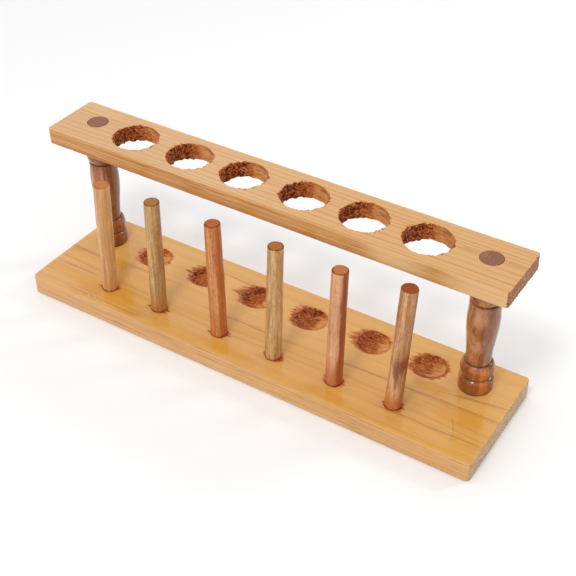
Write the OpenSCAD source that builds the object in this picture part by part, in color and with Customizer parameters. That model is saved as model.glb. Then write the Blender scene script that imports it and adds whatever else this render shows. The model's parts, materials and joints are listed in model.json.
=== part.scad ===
// Wooden rack for six test tubes, with six drying pegs. Millimetres, +Z up, +X to the right, +Y to the back.
// The origin is the middle of the base board's underside.
// Tubes hang through the row of holes in the top board and stand in the shallow dimples below them.

/* [Tube holes] */
// Diameter of the six tube holes
hole_d = 21; // [16:0.5:32]
// Wood left between two neighbouring holes
web = 9.5; // [6:0.5:20]
// Wood left between a row's last hole and the post's tenon
end_land = 9.5; // [6:0.1:20]
// Wood left in front of the holes and behind them
side_land = 5; // [3.5:0.5:15]

/* [Boards] */
// Thickness of the base board
base_t = 9.9; // [8.5:0.1:20]
// Thickness of the top board
top_t = 7.9; // [5:0.1:14]
// Clear height between the two boards
gap_h = 60.5; // [46:0.5:120]
// How much longer the base board is than the top board
base_extra = 1; // [0:0.5:40]
// Shift of the posts' middle from the base's middle, negative to the left
post_shift = -2.4; // [-6:0.1:6]
// Shift of the top board's middle from the posts' middle, negative to the left
top_shift = -0.6; // [-3:0.1:3]
// Board beyond each post's foot, at the ends
end_margin = 8.5; // [6:0.1:30]
// Radius of the boards' upright corners
corner_r = 2; // [0.5:0.5:5]
// Radius of the boards' long arrises
arris_r = 0.8; // [0.3:0.1:2]

/* [Rows on the base] */
// Front edge of the base to the row of pegs
peg_setback = 13.5; // [9:0.5:40]
// Row of pegs to the row of posts and dimples
row_gap = 30.7; // [26:0.1:60]
// Row of posts and dimples to the back edge of the base
post_setback = 16.8; // [12:0.1:40]
// How far the holes in the top board lie in front of the posts
hole_forward = 1.7; // [0:0.1:4]

/* [Drying pegs] */
// Diameter of a peg
peg_d = 7.4; // [5:0.1:12]
// Length of a peg above the base board
peg_h = 61; // [30:0.5:110]
// Depth of a peg's blind socket in the base
peg_socket = 7; // [4:0.5:8]
// How much a peg's glued end is cut down, on the radius
peg_step = 0.2; // [0.2:0.05:0.5]
// How far the cut-down end shows above the base
peg_collar = 1.5; // [0.5:0.1:4]
// Rounding of a peg's top rim
peg_round = 0.6; // [0.2:0.1:1.5]

/* [Turned posts] */
// Diameter of the tenons at both ends
tenon_d = 10; // [6:0.5:11]
// Depth of the blind socket for the lower tenon
post_socket = 8; // [4:0.5:8]
// Radius of the foot
foot_r = 7.5; // [6.5:0.1:12]
// Height of the foot
foot_h = 7.8; // [4:0.1:12]
// Radius of the groove between the foot and the bead
groove_r = 6.2; // [5.6:0.1:6.4]
// Largest radius of the bead
bead_r = 7.35; // [6.8:0.05:12]
// Height of the bead
bead_h = 7.4; // [4:0.1:12]
// Radius of the neck above the bead
neck_r = 5.5; // [5:0.1:6.5]
// Largest radius of the tapered body
belly_r = 7.05; // [6.6:0.05:12]
// Radius of the body at its top
shoulder_r = 6.7; // [6:0.1:7]
// Radius of the crease under the collar
crease_r = 5.6; // [5.2:0.1:6]
// Radius of the collar under the top board
collar_r = 7.4; // [6.5:0.1:12]
// Height of the collar
collar_h = 13; // [6:0.5:16]

/* [Dimples] */
// Diameter of a dimple at the surface
dimple_d = 15.6; // [8:0.2:24]
// Depth of a dimple
dimple_depth = 2.2; // [1:0.1:4]

/* [Fits] */
// Gap for glue all around a peg or a tenon in its socket
glue_gap = 0.05; // [0.02:0.01:0.3]

/* [Hand work] */
// How much of the hand drilling's wander is kept: 0 is a perfectly even rack
wander = 1; // [0:0.1:1]

/* [Hidden] */
$fn = 96;
COUNT = 6;
EPS = 0.5;

// Wander of each hole, dimple and peg along the boards, from left to right
HOLE_DX = [0, 0.5, -0.6, 0.2, -0.7, -1.5];
DIMPLE_DX = [0.7, 1.8, 1.6, 0.4, 2.6, 0.8];
PEG_DX = [-3, -3.7, 0.2, -0.8, 0.2, -1.5];
// Wander of each dimple and peg across the base
DIMPLE_DY = [-0.2, 0.3, -0.1, -0.2, 0.8, 0.1];
PEG_DY = [-0.5, -0.4, 0, 0.1, 0.1, 0.9];
// Lean of each peg to the right and to the back, in degrees
PEG_RIGHT = [2.9, 1.6, -0.3, 2.1, 1.6, 2.9];
PEG_BACK = [-0.4, -0.2, -0.1, 0.1, 0.1, 1];
// Extra length of each peg
PEG_EXTRA = [-0.8, -0.2, 0.1, 0.5, 0.6, 2.9];

hole_r = hole_d / 2;
peg_r = peg_d / 2;
peg_end_r = peg_r - peg_step;
tenon_r = tenon_d / 2;
dimple_r = dimple_d / 2;
pitch = hole_d + web;
post_x = (COUNT - 1) / 2 * pitch + hole_r + end_land + tenon_r;
top_l = 2 * (post_x + foot_r + end_margin);
top_w = hole_d + 2 * side_land;
base_l = top_l + base_extra;
base_w = peg_setback + row_gap + post_setback;
peg_y = -base_w / 2 + peg_setback;
post_y = base_w / 2 - post_setback;
hole_y = post_y - hole_forward;
dimple_sphere_r = (dimple_r ^ 2 + dimple_depth ^ 2) / (2 * dimple_depth);

// The post's body: its ends, how far up it is fullest, and the cuts at its two ends
body_z0 = foot_h + bead_h;
body_z1 = gap_h - collar_h;
BELLY_AT = 0.72;
CREASE = 0.4;
LIP = 0.8;

PINE = [0.86, 0.66, 0.42];
HONEY = [0.84, 0.62, 0.34];
WALNUT = [0.42, 0.21, 0.09];
PEG_TONES = [[0.82, 0.62, 0.45], [0.76, 0.6, 0.4], [0.74, 0.47, 0.3],
             [0.72, 0.56, 0.38], [0.7, 0.48, 0.33], [0.66, 0.46, 0.32]];

// Place of item i in an evenly pitched row of six, about the row's middle
function row_x(i) = (i - (COUNT - 1) / 2) * pitch;

module rounded_rect(l, w, r) {
    square([l - 2 * r, w], center = true);
    square([l, w - 2 * r], center = true);
    for (x = [-1, 1], y = [-1, 1])
        translate([x * (l / 2 - r), y * (w / 2 - r)]) circle(r);
}

// A planed board lying on z = 0, its upright corners and its long arrises rounded
module board(l, w, t) {
    intersection() {
        linear_extrude(t) rounded_rect(l, w, corner_r);
        rotate([90, 0, 90])
            linear_extrude(l + 2 * EPS, center = true)
                translate([0, t / 2]) rounded_rect(w, t, arris_r);
    }
}

// Carries its children to peg i's place on top of the base, leaning as that peg leans
module at_peg(i) {
    translate([row_x(i) + wander * PEG_DX[i], peg_y + wander * PEG_DY[i], base_t])
        rotate([-wander * PEG_BACK[i], wander * PEG_RIGHT[i], 0])
            children();
}

module base_board() {
    color(HONEY)
    difference() {
        board(base_l, base_w, base_t);
        for (i = [0 : COUNT - 1]) {
            at_peg(i)
                translate([0, 0, -peg_socket])
                    cylinder(h = peg_socket + 1, r = peg_end_r + glue_gap);
            translate([row_x(i) + wander * DIMPLE_DX[i], post_y + wander * DIMPLE_DY[i],
                       base_t - dimple_depth + dimple_sphere_r])
                sphere(dimple_sphere_r);
        }
        for (side = [-1, 1])
            translate([post_shift + side * post_x, post_y, base_t - post_socket])
                cylinder(h = post_socket + 1, r = tenon_r + glue_gap);
    }
}

module top_board() {
    color(PINE)
    translate([post_shift + top_shift, hole_y, base_t + gap_h])
    difference() {
        board(top_l, top_w, top_t);
        for (i = [0 : COUNT - 1])
            translate([row_x(i) + wander * HOLE_DX[i], 0, -1])
                cylinder(h = top_t + 2, r = hole_r);
        for (side = [-1, 1])
            translate([side * post_x - top_shift, hole_forward, -1])
                cylinder(h = top_t + 2, r = tenon_r + glue_gap);
    }
}

// Half outline of a post's parts: z = 0 is the top of the base, each a list of [radius, height]

function foot_outline(n = 6, round = 2) = concat(
    [[foot_r, 0]],
    [for (i = [0 : n]) let (a = 75 * i / n)
        [foot_r - round * (1 - cos(a)), foot_h - CREASE - round * (1 - sin(a))]],
    [[groove_r, foot_h]]);

function bead_outline(n = 16) = [
    for (i = [1 : n])
        let (a = -90 + 180 * i / n, waist = a < 0 ? groove_r : neck_r)
        [waist + (bead_r - waist) * cos(a), foot_h + bead_h / 2 * (1 + sin(a))]];

// Slim at the neck, fullest at BELLY_AT of its height, and a little slimmer again at the shoulder
function body_r(t) = t < BELLY_AT
    ? neck_r + (belly_r - neck_r) * (1 - cos(180 * t / BELLY_AT)) / 2
    : shoulder_r + (belly_r - shoulder_r) * (1 + cos(180 * (t - BELLY_AT) / (1 - BELLY_AT))) / 2;

function body_outline(n = 24) = concat(
    [for (i = [1 : n]) [body_r(i / n), body_z0 + (body_z1 - LIP - body_z0) * i / n]],
    [[shoulder_r - LIP / 2, body_z1 - LIP / 4], [crease_r, body_z1]]);

function collar_outline(n = 8, round = 3.5) = concat(
    [for (i = [1 : n]) let (a = 90 * i / n)
        [crease_r + (collar_r - crease_r) * sin(a), body_z1 + CREASE + round * (1 - cos(a))]],
    [[collar_r, gap_h]]);

module post(side) {
    color(WALNUT)
    translate([post_shift + side * post_x, post_y, base_t])
        rotate_extrude()
            polygon(concat(
                [[0, -post_socket], [tenon_r, -post_socket], [tenon_r, 0]],
                foot_outline(), bead_outline(), body_outline(), collar_outline(),
                [[tenon_r, gap_h], [tenon_r, gap_h + top_t], [0, gap_h + top_t]]));
}

// A dowel standing in its socket, its glued end cut a little thinner and its top rim softened
module peg(i) {
    length = peg_socket + peg_h + wander * PEG_EXTRA[i];
    shoulder = peg_socket + peg_collar;
    color(PEG_TONES[i])
    at_peg(i)
        translate([0, 0, -peg_socket])
            rotate_extrude()
                polygon(concat(
                    [[0, 0], [peg_end_r, 0], [peg_end_r, shoulder], [peg_r, shoulder]],
                    [for (a = [0 : 15 : 90])
                        [peg_r - peg_round * (1 - cos(a)), length - peg_round * (1 - sin(a))]],
                    [[0, length]]));
}

base_board();
top_board();
post(-1);  // post_left
post(1);  // post_right
peg(0);  // peg_1
peg(1);  // peg_2
peg(2);  // peg_3
peg(3);  // peg_4
peg(4);  // peg_5
peg(5);  // peg_6
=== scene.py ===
"""A varnished wooden rack for six test tubes: drilled top board, two turned posts, dimpled base, six dowels.

Shapes are worked out in millimetres in the part's own frame and scaled to metres when a piece is made.
The grain of both boards runs along X, and that of the posts and dowels along their own length.
"""

import json
import math

import bmesh
import bpy
import numpy as np
from mathutils import Matrix, Vector


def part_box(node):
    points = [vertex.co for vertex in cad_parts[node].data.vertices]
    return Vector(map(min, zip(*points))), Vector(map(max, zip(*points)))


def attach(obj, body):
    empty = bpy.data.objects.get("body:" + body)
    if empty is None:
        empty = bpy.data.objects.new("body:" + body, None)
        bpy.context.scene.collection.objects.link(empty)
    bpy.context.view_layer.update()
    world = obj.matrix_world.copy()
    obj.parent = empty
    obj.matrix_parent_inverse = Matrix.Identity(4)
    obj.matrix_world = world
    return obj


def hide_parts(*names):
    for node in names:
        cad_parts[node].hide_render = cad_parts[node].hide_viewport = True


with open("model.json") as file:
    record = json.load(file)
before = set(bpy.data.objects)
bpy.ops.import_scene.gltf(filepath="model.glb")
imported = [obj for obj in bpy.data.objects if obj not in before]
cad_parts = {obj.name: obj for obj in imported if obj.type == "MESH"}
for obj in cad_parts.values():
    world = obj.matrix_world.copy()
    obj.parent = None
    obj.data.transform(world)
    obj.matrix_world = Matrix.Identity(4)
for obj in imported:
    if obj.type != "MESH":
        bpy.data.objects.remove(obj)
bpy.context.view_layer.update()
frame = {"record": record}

MM = 0.001
MOUNTS = {m["name"]: m for m in frame["record"]["mounts"]}


def in_mm(vector):
    return np.array(vector, float) / MM


BASE_LO, BASE_HI = (in_mm(c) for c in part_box("base_board"))
TOP_LO, TOP_HI = (in_mm(c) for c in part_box("top_board"))
POST_BOXES = {side: [in_mm(c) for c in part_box("post_" + side)] for side in ("left", "right")}

# Upright corners and long arrises of the boards
CORNER_R = 2.0
ARRIS = 0.55

# Holes of the top board, from left to right
HOLES = [MOUNTS["tube_hole_%d" % n] for n in range(1, 7)]
HOLE_R = HOLES[0]["dims"]["r_mm"]
HOLE_AT = [in_mm(h["pos_m"])[:2] for h in HOLES]
TENON_AT = [(POST_BOXES[side][0] + POST_BOXES[side][1])[:2] / 2 for side in ("left", "right")]
TENON_R = 5.0
TENON_HOLE_R = 5.08

# Dimples of the base, from left to right, and how badly the cutter tore each one's left and right rims
DIMPLE_R = 7.8
DIMPLE_DEEP = 2.2
DIMPLE_AT = [(-75.55, 13.5), (-43.95, 14.0), (-13.65, 13.6), (15.65, 13.5), (48.35, 14.5), (77.05, 13.8)]
TORN_LEFT = [0.75, 1.0, 1.0, 1.1, 0.95, 0.75]
TORN_RIGHT = [0.65, 0.3, 0.25, 0.25, 0.35, 0.8]

# Dowels, glued in their sockets: the glued end is cut thinner up to a little above the base
PEG_END_R = 3.5
PEG_SOCKET_R = 3.56
PEG_COLLAR = 1.5
PEG_ROUND = 0.6
PEG_SUNK = 7.0
# Each dowel's own radius just above its foot and at its top
PEG_TAPER = [(3.7, 3.68), (3.84, 3.56), (3.8, 3.6), (3.8, 3.46), (3.78, 3.58), (3.75, 3.58)]

# Turned posts
POST_SUNK = 8.0
FOOT_R, FOOT_H, GROOVE_R = 7.5, 7.8, 6.2
BEAD_R, BEAD_H = 7.35, 7.4
NECK_R, BELLY_R, BELLY_AT, SHOULDER_R = 5.5, 7.05, 0.72, 6.7
COLLAR_R, COLLAR_H, CREASE_R = 7.4, 13.0, 5.6


# ---- steady noise for the shapes

def hashed(i, j, k, seed):
    """A steady number from 0 to 1 for each point of a lattice."""
    i, j, k = (np.asarray(v).astype(np.int64).astype(np.uint64) for v in (i, j, k))
    low = np.uint64(0xFFFFFFFF)
    n = (i * np.uint64(73856093)) ^ (j * np.uint64(19349663)) ^ (k * np.uint64(83492791))
    n = (n ^ np.uint64(seed * 2654435761 & 0xFFFFFFFF)) & low
    n = ((n ^ (n >> np.uint64(15))) * np.uint64(2246822519)) & low
    n = ((n ^ (n >> np.uint64(13))) * np.uint64(3266489917)) & low
    return (n ^ (n >> np.uint64(16))).astype(float) / 4294967295.0


def noise(x, y=0.0, z=0.0, seed=1):
    """Smooth noise from -1 to 1, one lump to a unit."""
    x, y, z = np.broadcast_arrays(np.asarray(x, float), y, z)
    fx, fy, fz = np.floor(x), np.floor(y), np.floor(z)
    u, v, w = x - fx, y - fy, z - fz
    u, v, w = (t * t * (3 - 2 * t) for t in (u, v, w))
    total = 0.0
    for a in (0, 1):
        for b in (0, 1):
            for c in (0, 1):
                share = (u if a else 1 - u) * (v if b else 1 - v) * (w if c else 1 - w)
                total = total + share * hashed(fx + a, fy + b, fz + c, seed)
    return 2 * total - 1


def noise_share(x, y=0.0, z=0.0, seed=1):
    """The same from 0 to 1."""
    return 0.5 + 0.5 * noise(x, y, z, seed)


def rough(x, y=0.0, z=0.0, seed=1, octaves=3):
    """Noise with finer and finer noise on it."""
    x, y, z = (np.asarray(v) for v in (x, y, z))
    total, size = 0.0, 1.0
    for n in range(octaves):
        total = total + size * noise(x * 2 ** n, y * 2 ** n, z * 2 ** n, seed + 17 * n)
        size *= 0.5
    return total / (2 - 0.5 ** (octaves - 1))


def ease(t):
    """0 below 0, 1 above 1, and a smooth step between."""
    t = np.clip(t, 0.0, 1.0)
    return t * t * (3 - 2 * t)


def fade(gap, reach):
    """1 where there is no gap, falling evenly to 0 at the reach."""
    return np.clip(1 - gap / reach, 0, 1)


def hump(t, middle, width):
    """1 at the middle, and less the further t is from it."""
    return np.exp(-((t - middle) / width) ** 2)


# ---- making a piece

class Shell:
    """The points and faces of one piece in millimetres, gathered patch by patch."""

    def __init__(self):
        self.points, self.faces, self.count = [], [], 0

    def patch(self, grid, closed=False):
        """Adds a grid of points, rows by columns, and the faces between them."""
        rows, columns = grid.shape[:2]
        index = np.arange(rows * columns).reshape(rows, columns) + self.count
        if closed:
            index = np.concatenate([index, index[:, :1]], axis=1)
        quads = np.stack([index[:-1, :-1], index[:-1, 1:], index[1:, 1:], index[1:, :-1]], axis=-1)
        self.points.append(grid.reshape(-1, 3))
        self.faces.extend(quads.reshape(-1, 4).tolist())
        self.count += rows * columns

    def cap(self, loop):
        """Closes a loop of points with one flat face."""
        self.points.append(np.asarray(loop, float))
        self.faces.append(list(range(self.count, self.count + len(loop))))
        self.count += len(loop)

    def weld(self):
        """Joins the patches where they meet, and returns a mesh with its faces turned outwards."""
        mesh = bpy.data.meshes.new("shell")
        mesh.from_pydata(np.concatenate(self.points).tolist(), [], self.faces)
        work = bmesh.new()
        work.from_mesh(mesh)
        bmesh.ops.remove_doubles(work, verts=work.verts, dist=0.002)
        bmesh.ops.recalc_face_normals(work, faces=work.faces)
        work.to_mesh(mesh)
        work.free()
        return mesh


def places(mesh):
    co = np.empty(len(mesh.vertices) * 3)
    mesh.vertices.foreach_get("co", co)
    return co.reshape(-1, 3)


def make_piece(name, mesh, points, marks, finish, crease=35):
    """The finished object: points in metres, marks for the finish, edges crisp over crease degrees."""
    mesh.vertices.foreach_set("co", (points * MM).ravel())
    for mark, values in marks.items():
        layer = mesh.attributes.new(mark, "FLOAT", "POINT")
        layer.data.foreach_set("value", np.broadcast_to(values, len(points)).astype(np.float32))
    mesh.polygons.foreach_set("use_smooth", [True] * len(mesh.polygons))
    mesh.update()
    mesh.set_sharp_from_angle(angle=math.radians(crease))
    mesh.name = name
    mesh.materials.append(finish)
    piece = bpy.data.objects.new(name, mesh)
    bpy.context.scene.collection.objects.link(piece)
    return piece


def place(piece, node):
    """The piece stands for its part in the frame, and moves with the rack."""
    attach(piece, "root")
    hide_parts(node)


# ---- both boards

# Less than this is nothing, in millimetres
TINY = 1e-6


class Board:
    """A planed board, gathered with square corners that are then drawn in to arcs."""

    def __init__(self, lo, hi):
        self.lo, self.hi, self.middle = lo, hi, (lo + hi) / 2
        self.half_l, self.half_w = (hi - lo)[:2] / 2 - ARRIS
        self.shell = Shell()

    def rounded(self, x, y):
        """A plan with its corners drawn in, and the way out from each arc's middle."""
        radius = CORNER_R - ARRIS
        flat_l, flat_w = self.half_l - radius, self.half_w - radius
        x, y = x - self.middle[0], y - self.middle[1]
        u, v = (np.abs(x) - flat_l) / radius, (np.abs(y) - flat_w) / radius
        corner = (u > 0) & (v > 0)
        u, v = np.clip(u, 0, 1), np.clip(v, 0, 1)
        arc_u, arc_v = u * np.sqrt(1 - v * v / 2), v * np.sqrt(1 - u * u / 2)
        new_x = np.where(corner, np.sign(x) * (flat_l + radius * arc_u), x) + self.middle[0]
        new_y = np.where(corner, np.sign(y) * (flat_w + radius * arc_v), y) + self.middle[1]
        return new_x, new_y, np.sign(x) * arc_u * corner, np.sign(y) * arc_v * corner

    def skirt(self, x, y, steps):
        """The rounded edge below one run of points on the flat top's outline. Returns its lowest row."""
        x, y, out_x, out_y = self.rounded(x, y)
        dx, dy = x - self.middle[0], y - self.middle[1]
        plain = np.hypot(out_x, out_y) < TINY
        out_x = np.where(plain, (np.abs(dx) > self.half_l - TINY) * np.sign(dx), out_x)
        out_y = np.where(plain, (np.abs(dy) > self.half_w - TINY) * np.sign(dy), out_y)
        length = np.maximum(np.hypot(out_x, out_y), TINY)
        turn = np.radians([0, 18, 36, 54, 72, 90])
        out = np.concatenate([ARRIS * np.sin(turn), [ARRIS] * (steps - 1), ARRIS * np.sin(turn[::-1])])
        z_lo, z_hi = self.lo[2], self.hi[2]
        flat = np.linspace(z_hi - ARRIS, z_lo + ARRIS, steps + 1)[1:-1]
        z = [z_hi - ARRIS * (1 - np.cos(turn)), flat, z_lo + ARRIS * (1 - np.cos(turn[::-1]))]
        rows = [np.stack([x + o * out_x / length, y + o * out_y / length, np.full_like(x, h)], axis=-1)
                for o, h in zip(out, np.concatenate(z))]
        self.shell.patch(np.array(rows))
        return rows[-1]

    def hand_made(self, clean, planed, knocked, sawn, saw_depth):
        """The clean points moved by hand planing's slow waves, knocks along the edges and the saw's marks.

        The first three numbers are the seeds of each. Harder year rings stand proud of the sawn ends.
        """
        x, y, z = clean.T
        side_x, side_y, side_z = np.sign(clean - self.middle).T
        gap_x, gap_y, gap_z = (self.hi - self.middle - np.abs(clean - self.middle)).T
        back, over = np.sign(y) * 3.0, np.sign(z - z.mean()) * 3.0
        waves = np.stack(
            [0.055 * noise(y / 9, z / 6, seed=planed), 0.11 * noise(x / 37, z / 12, back, seed=planed + 1),
            0.066 * noise(x / 29, y / 14, over, seed=planed + 2)], axis=-1)
        near_x, near_y, near_z = (ease(1 - gap / 1.6) for gap in (gap_x, gap_y, gap_z))
        edge = np.maximum(near_x, near_y) * near_z + near_x * near_y
        knock = np.clip(rough(x / 2.6, y / 2.6, z / 2.6, knocked) * 1.6 - 0.55, 0, 1)
        way = np.stack([side_x * near_x, side_y * near_y, side_z * near_z], axis=-1)
        way /= np.maximum(np.linalg.norm(way, axis=1, keepdims=True), TINY)
        comb = 0.16 * np.abs(np.sin(y * 1.55 + 1.3 * noise(y / 5, z / 3, seed=sawn)))
        comb = saw_depth * (comb + 0.09 * rough(y / 0.9, z / 0.9, seed=sawn + 5))
        points = clean + waves * ease(clean[:, 2:] / 2) - (0.35 * edge * knock)[:, None] * way
        points[:, 0] -= side_x * comb * ease(1 - gap_x / 0.9)
        return points


# ---- the drilled top board

CELL_STEPS = 54
WALL_STEPS = 21


def drilled_cell(board, centre, radius, x0, x1, y0, y1):
    """One hole with its share of the board: the faces above and below and the bore's wall."""
    corners = np.array([(x1, y0), (x1, y1), (x0, y1), (x0, y0), (x1, y0)])
    outline = np.concatenate([np.linspace(a, b, CELL_STEPS + 1)[:-1] for a, b in zip(corners, corners[1:])])
    angle = np.arctan2(outline[:, 1] - centre[1], outline[:, 0] - centre[0])
    rim = np.stack([centre[0] + radius * np.cos(angle), centre[1] + radius * np.sin(angle)], axis=-1)
    z_lo, z_hi = board.lo[2], board.hi[2]
    for z, steps, power in ((z_hi, 11, 1.8), (z_lo, 6, 1.7)):
        share = (np.arange(steps + 1) / steps) ** power
        flat = rim[None] + (outline - rim)[None] * share[:, None, None]
        x, y, _, _ = board.rounded(flat[..., 0], flat[..., 1])
        board.shell.patch(np.stack([x, y, np.full_like(x, z)], axis=-1), closed=True)
    wall = [np.column_stack([rim, np.full(len(rim), h)]) for h in np.linspace(z_lo, z_hi, WALL_STEPS + 1)]
    board.shell.patch(np.array(wall), closed=True)


def bore_damage(angle, z, number):
    """How far a drilled wall is torn outwards, and how torn it looks.

    The cutter lifts the fibres in the two opposite quarters where it meets them from behind.
    """
    x, y = HOLE_R * np.cos(angle), HOLE_R * np.sin(angle)
    up = (z - TOP_LO[2]) / (TOP_HI[2] - TOP_LO[2])
    seed = 40 + 7 * number
    arc = angle * HOLE_R
    against = 0.68 + 0.62 * np.cos(2 * (angle - math.radians(158)))
    torn = np.clip(against + 0.22 * noise(arc / 4, z / 3, seed=seed + 4), 0, 1)
    crumbs = rough(x / 1.3, y / 1.1, z / 1.0, seed, 3)
    pits = np.clip(noise(x / 1.7, y / 1.4, z / 1.3, seed + 3), 0, 1)
    strips = noise(arc / 9, z / 0.8, seed=seed + 5)
    push = torn * (0.5 * crumbs + 0.95 * pits) + (1 - torn) * 0.08 * strips
    chips = np.clip(rough(arc / 1.1, seed=seed + 6, octaves=3) + 0.15, 0, 1)
    push = push + ease(1 - up / 0.22) * chips * (0.15 + 0.85 * torn) * 0.4
    nicks = np.clip(rough(arc / 0.9, seed=seed + 8, octaves=3) + 0.1, 0, 1)
    push = push + ease((up - 0.84) / 0.16) * nicks * (0.06 + 0.94 * torn) * 1.2
    return push, torn


def top_board():
    board = Board(TOP_LO, TOP_HI)
    holes = [(TENON_AT[0], TENON_HOLE_R)] + [(c, HOLE_R) for c in HOLE_AT] + [(TENON_AT[1], TENON_HOLE_R)]
    edges = [(a[0] + ra + b[0] - rb) / 2 for (a, ra), (b, rb) in zip(holes, holes[1:])]
    edges = [board.middle[0] - board.half_l] + edges + [board.middle[0] + board.half_l]
    sides = (board.middle[1] - board.half_w, board.middle[1] + board.half_w)
    for (centre, radius), x0, x1 in zip(holes, edges, edges[1:]):
        drilled_cell(board, centre, radius, x0, x1, *sides)
        for y in sides:
            x = np.linspace(x0, x1, CELL_STEPS + 1)
            board.skirt(x, np.full_like(x, y), 7)
    for x in (edges[0], edges[-1]):
        y = np.linspace(*sides, CELL_STEPS + 1)
        board.skirt(np.full_like(y, x), y, 7)
    mesh = board.shell.weld()
    clean = places(mesh)
    points = board.hand_made(clean, 3, 9, 21, 1.9)
    torn, bore = np.zeros(len(points)), np.zeros(len(points))
    for number, centre in enumerate(HOLE_AT):
        away = clean[:, :2] - centre
        distance = np.hypot(*away.T)
        near = distance < HOLE_R + 4.0
        angle, gap, z = np.arctan2(away[near, 1], away[near, 0]), distance[near] - HOLE_R, clean[near, 2]
        push, wall_torn = bore_damage(angle, z, number)
        out = np.stack([np.cos(angle), np.sin(angle)], axis=-1)
        points[near, :2] += out * (push * fade(gap, 1.6) ** 2)[:, None]
        upper, lower = z > TOP_HI[2] - 0.01, z < TOP_LO[2] + 0.01
        lip = fade(gap, 0.55) ** 2
        ragged = noise_share(angle * HOLE_R / 0.9, seed=90 + number)
        hanging = 0.35 * noise(angle * HOLE_R / 1.3, seed=70 + number)
        points[near, 2] += lip * (lower * hanging * (0.3 + wall_torn) - upper * (0.1 + 0.2 * ragged))
        on_wall = gap < 0.01
        stain = fade(gap, 0.3 + 2.6 * wall_torn * ragged ** 2)
        torn[near] = np.maximum(torn[near], np.where(on_wall, wall_torn, stain * (0.4 + 0.6 * wall_torn)))
        bore[near] = np.maximum(bore[near], np.where(on_wall, 1.0, fade(gap, 0.3)))
    for centre in TENON_AT:
        gap = np.hypot(*(clean[:, :2] - centre).T) - TENON_HOLE_R
        torn = np.maximum(torn, 0.2 * fade(gap, 0.5) * (gap > -0.01))
    piece = make_piece("drilled_top_board", mesh, points, {"torn": torn, "bore": bore}, pine_top())
    place(piece, "top_board")


# ---- the dimpled base board

LIP_STEP = 0.12
CORE_STEPS, REACH_STEPS = 16, 6
# Lines from a round feature's middle to the edge of its square, between two squares, and beyond the last
RING_STEPS = CORE_STEPS + REACH_STEPS + 1
GAP_LINES, END_LINES = 14, 6
DIMPLE_REACH = 11.0
PEG_REACH = PEG_SOCKET_R + 3.6


def across_one(radius, reach):
    """Line offsets over one round feature, close together at its rim."""
    half = np.concatenate(
        [np.linspace(0, radius - LIP_STEP, CORE_STEPS + 1), np.linspace(radius, reach, REACH_STEPS + 1)])
    return np.concatenate([-half[:0:-1], half])


def lines_along(lo, hi, centres, offsets):
    """Lines across the board's whole length, gathered round each of a row's features."""
    runs = [np.linspace(lo, centres[0] + offsets[0], END_LINES + 1)[:-1], centres[0] + offsets]
    for last, centre in zip(centres, centres[1:]):
        runs.append(np.linspace(last + offsets[-1], centre + offsets[0], GAP_LINES + 1)[1:-1])
        runs.append(centre + offsets)
    runs.append(np.linspace(centres[-1] + offsets[-1], hi, END_LINES + 1)[1:])
    return np.concatenate(runs)


def peg_foot(number):
    """Where dowel number (from 0) leaves the base, and its direction."""
    mount = MOUNTS["drying_peg_%d" % (number + 1)]
    axis = np.array(mount["axis"], float)
    half = mount["dims"]["length_mm"] / 2 + PEG_COLLAR
    return in_mm(mount["pos_m"]) - axis * half, axis, mount["dims"]["length_mm"] + PEG_COLLAR + PEG_ROUND


def open_round(x, y, column, row, centre, radius, canon, reach):
    """Draws a square of board lines in to circles round one feature. Returns the lines and their rings."""
    js, ks = (slice(at - RING_STEPS, at + RING_STEPS + 1) for at in (column, row))
    offsets = across_one(canon, reach)
    u, v = np.meshgrid(offsets, offsets, indexing="ij")
    ring = np.maximum(np.abs(u), np.abs(v))
    spread = np.maximum(np.hypot(u, v), 1e-9)
    past = np.clip((ring - canon) / (reach - canon), 0, 1)
    size = np.where(ring <= canon, ring * radius / canon, radius + past * (reach - radius))
    weight = 1 - ease(past)
    start_x, start_y = x[js, ks].copy(), y[js, ks].copy()
    x[js, ks] = weight * (centre[0] + u * size / spread) + (1 - weight) * start_x
    y[js, ks] = weight * (centre[1] + v * size / spread) + (1 - weight) * start_y
    return js, ks, ring


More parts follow.
